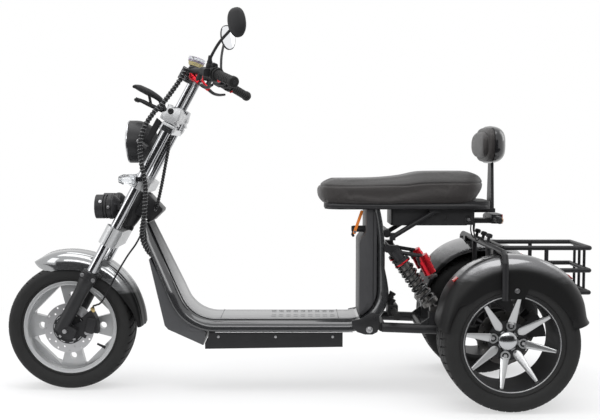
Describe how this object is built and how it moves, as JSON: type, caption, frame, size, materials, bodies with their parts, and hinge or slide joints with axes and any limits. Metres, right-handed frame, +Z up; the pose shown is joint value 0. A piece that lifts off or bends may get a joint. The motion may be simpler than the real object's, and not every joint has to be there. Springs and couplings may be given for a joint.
{
  "type": "three-wheeled electric scooter",
  "caption": "Electric scooter with a raked fork and wide front wheel, a ribbon step-through body, a long seat with a backrest, and wide rear wheels under fenders with a wire basket.",
  "frame": {"origin": "on the floor, at the middle of the bounding box", "axes": "+X forward, +Y to the rider's left, +Z up"},
  "size_m": [2.05, 0.766, 1.3104],
  "materials": {
    "body_grey": "glossy dark grey metallic paint",
    "black_frame": "semi-gloss black powder coat",
    "black_plastic": "matt black plastic",
    "black_gloss": "gloss black",
    "seat_leather": "charcoal seat leather",
    "red_lens": "red lens",
    "clear_lens": "clear lens",
    "amber_lens": "amber lens",
    "red_metal": "red anodised finish",
    "orange_plastic": "orange plastic",
    "chrome": "polished chrome",
    "silver_metal": "silver painted alloy",
    "rim_black": "black alloy with machined spokes",
    "rubber": "black rubber",
    "tyre": "black tyre rubber"
  },
  "bodies": {
    "frame": {"body_pan": "body_grey", "body_cover": "body_grey", "column_cover": "body_grey", "under_tray": "black_plastic", "front_deflector": "body_grey", "steering_head": "black_frame", "seat_struts": "black_frame", "seat_pan": "black_plastic", "seat_cushion": "seat_leather", "battery_box": "black_plastic", "backrest_post": "black_frame", "backrest_shell": "black_gloss", "backrest_pad": "seat_leather", "tail_lamp": "red_lens", "rear_indicators": "amber_lens", "swingarm": "black_frame", "rear_axle": "black_frame", "shock_dampers": "black_frame", "shock_springs": "black_frame", "shock_reservoirs": "red_metal", "rear_fenders": "black_gloss", "fender_hoop": "black_frame", "basket": "black_frame", "bag_hook": "orange_plastic", "foot_pegs": "black_frame", "rear_callipers": "black_plastic"},
    "steering": {"fork_sliders": "black_frame", "fork_tubes": "chrome", "lower_yoke": "silver_metal", "top_yoke": "silver_metal", "handlebar_bracket": "chrome", "handlebar": "black_frame", "grips": "rubber", "switch_housings": "black_plastic", "brake_masters": "red_metal", "brake_levers": "black_plastic", "mirrors": "black_plastic", "gauge": "black_plastic", "headlamp_shell": "black_plastic", "headlamp_lens": "clear_lens", "spot_lamps": "black_frame", "front_indicators": "amber_lens", "phone_holder": "black_plastic", "front_fender": "body_grey", "front_calliper": "black_plastic", "front_axle": "silver_metal", "cable_loom": "rubber"},
    "front_wheel": {"front_tyre": "tyre", "front_rim": "silver_metal", "front_disc": "silver_metal"},
    "rear_wheel_left": {"rear_tyre_left": "tyre", "rear_rim_left": "rim_black", "rear_disc_left": "silver_metal"},
    "rear_wheel_right": {"rear_tyre_right": "tyre", "rear_rim_right": "rim_black", "rear_disc_right": "silver_metal"}
  },
  "joints": [
    {"name": "steering_turn", "type": "hinge", "parent": "frame", "child": "steering", "pos_m": [0.8, 0, 0.225], "axis": [-0.4772, 0, 0.8788], "range_deg": [-40, 40]},
    {"name": "front_wheel_spin", "type": "hinge", "parent": "steering", "child": "front_wheel", "pos_m": [0.8, 0, 0.225], "axis": [0, 1, 0], "continuous": true},
    {"name": "rear_wheel_left_spin", "type": "hinge", "parent": "frame", "child": "rear_wheel_left", "pos_m": [-0.7, 0.255, 0.225], "axis": [0, 1, 0], "continuous": true},
    {"name": "rear_wheel_right_spin", "type": "hinge", "parent": "frame", "child": "rear_wheel_right", "pos_m": [-0.7, -0.255, 0.225], "axis": [0, 1, 0], "continuous": true}
  ]
}
